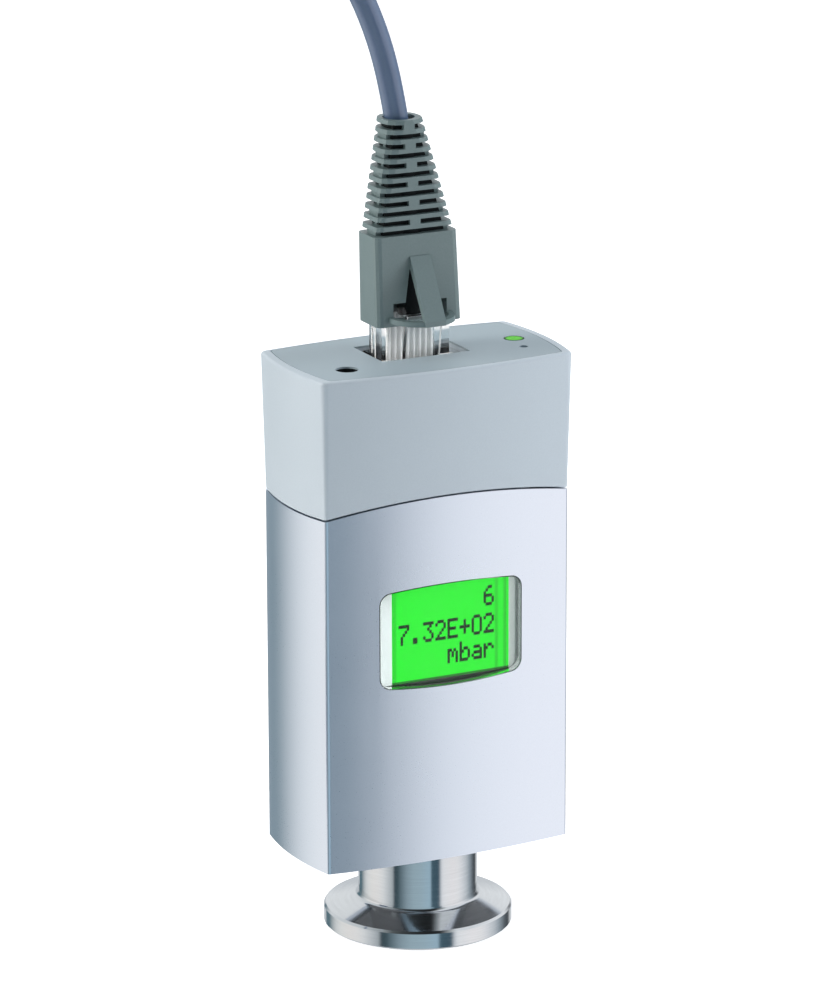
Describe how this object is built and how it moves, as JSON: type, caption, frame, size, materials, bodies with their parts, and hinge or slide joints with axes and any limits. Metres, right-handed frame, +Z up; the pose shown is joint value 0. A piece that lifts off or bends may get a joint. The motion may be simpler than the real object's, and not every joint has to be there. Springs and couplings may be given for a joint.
{
  "type": "vacuum gauge",
  "caption": "Compact digital vacuum gauge: bowed aluminium sleeve with a lit display, moulded cap with a modular socket and its plugged cable, standing on a small polished vacuum flange.",
  "frame": {"origin": "centre of the flange's sealing face, on which the gauge stands", "axes": "+Z up along the sensor tube to the cap; the display faces -Y; +X to the display's right; the cable leaves the top and comes down on the -X side"},
  "size_m": [0.1672, 0.0352, 0.1741],
  "materials": {
    "flange_steel": "turned and polished stainless steel",
    "header_steel": "ground",
    "seal_glass": "dark sealing glass",
    "pin_gold": "gold plated",
    "filament_wire": "drawn wire",
    "board_green": "solder mask",
    "plate_aluminium": "milled",
    "nut_steel": "turned",
    "screw_steel": "zinc plated",
    "sleeve_aluminium": "bead blasted and anodised",
    "window_clear": "clear polycarbonate, polished",
    "frame_white": "moulded white",
    "backlight_green": "light guide",
    "lcd_glass": "display glass",
    "chip_black": "moulding compound",
    "capacitor_metal": "drawn can",
    "header_black": "moulded",
    "socket_black": "moulded",
    "shield_metal": "nickel plated",
    "contact_gold": "gold plated",
    "jack_metal": "nickel plated",
    "led_green": "water clear",
    "light_green": "translucent green",
    "dome_steel": "stamped spring sheet",
    "plunger_white": "moulded",
    "cap_plastic": "fine moulded grain",
    "overlay_film": "satin film",
    "plug_clear": "clear polycarbonate",
    "wire_insulation": "insulated strands",
    "boot_grey": "moulded soft vinyl",
    "cable_grey": "extruded vinyl",
    "tie_black": "hook and loop strap"
  },
  "bodies": {
    "gauge": {"flange_tube": "flange_steel", "sensor_header": "header_steel", "glass_seals": "seal_glass", "header_pins": "pin_gold", "filament": "filament_wire", "sensor_board": "board_green", "base_plate": "plate_aluminium", "lock_nut": "nut_steel", "base_screws": "screw_steel", "tie_screws": "screw_steel", "housing_sleeve": "sleeve_aluminium", "display_window": "window_clear", "display_frame": "frame_white", "lcd_backlight": "backlight_green", "lcd_panel": "lcd_glass", "main_board": "board_green", "controller_chip": "chip_black", "capacitors": "capacitor_metal", "link_header": "header_black", "connector_board": "board_green", "socket_housing": "socket_black", "socket_shield": "shield_metal", "socket_contacts": "contact_gold", "service_jack": "socket_black", "jack_sleeve": "jack_metal", "status_led": "led_green", "light_pipe": "light_green", "adjust_switch": "socket_black", "switch_dome": "dome_steel", "top_cap": "cap_plastic", "top_overlay": "overlay_film", "plug_body": "plug_clear", "plug_contacts": "contact_gold", "plug_wires": "wire_insulation", "cable_boot": "boot_grey", "cable_lead": "cable_grey", "cable_tail": "cable_grey", "cable_hank": "cable_grey", "hank_tie": "tie_black", "far_plug_body": "plug_clear", "far_plug_contacts": "contact_gold", "far_plug_wires": "wire_insulation", "far_boot": "boot_grey"},
    "plunger": {"adjust_plunger": "plunger_white"}
  },
  "joints": [
    {"name": "adjust_press", "type": "slide", "parent": "gauge", "child": "plunger", "axis": [0, 0, -1], "range_m": [0, 0.00025], "stiffness_N_per_m": 4000, "deforming": ["switch_dome"]}
  ]
}
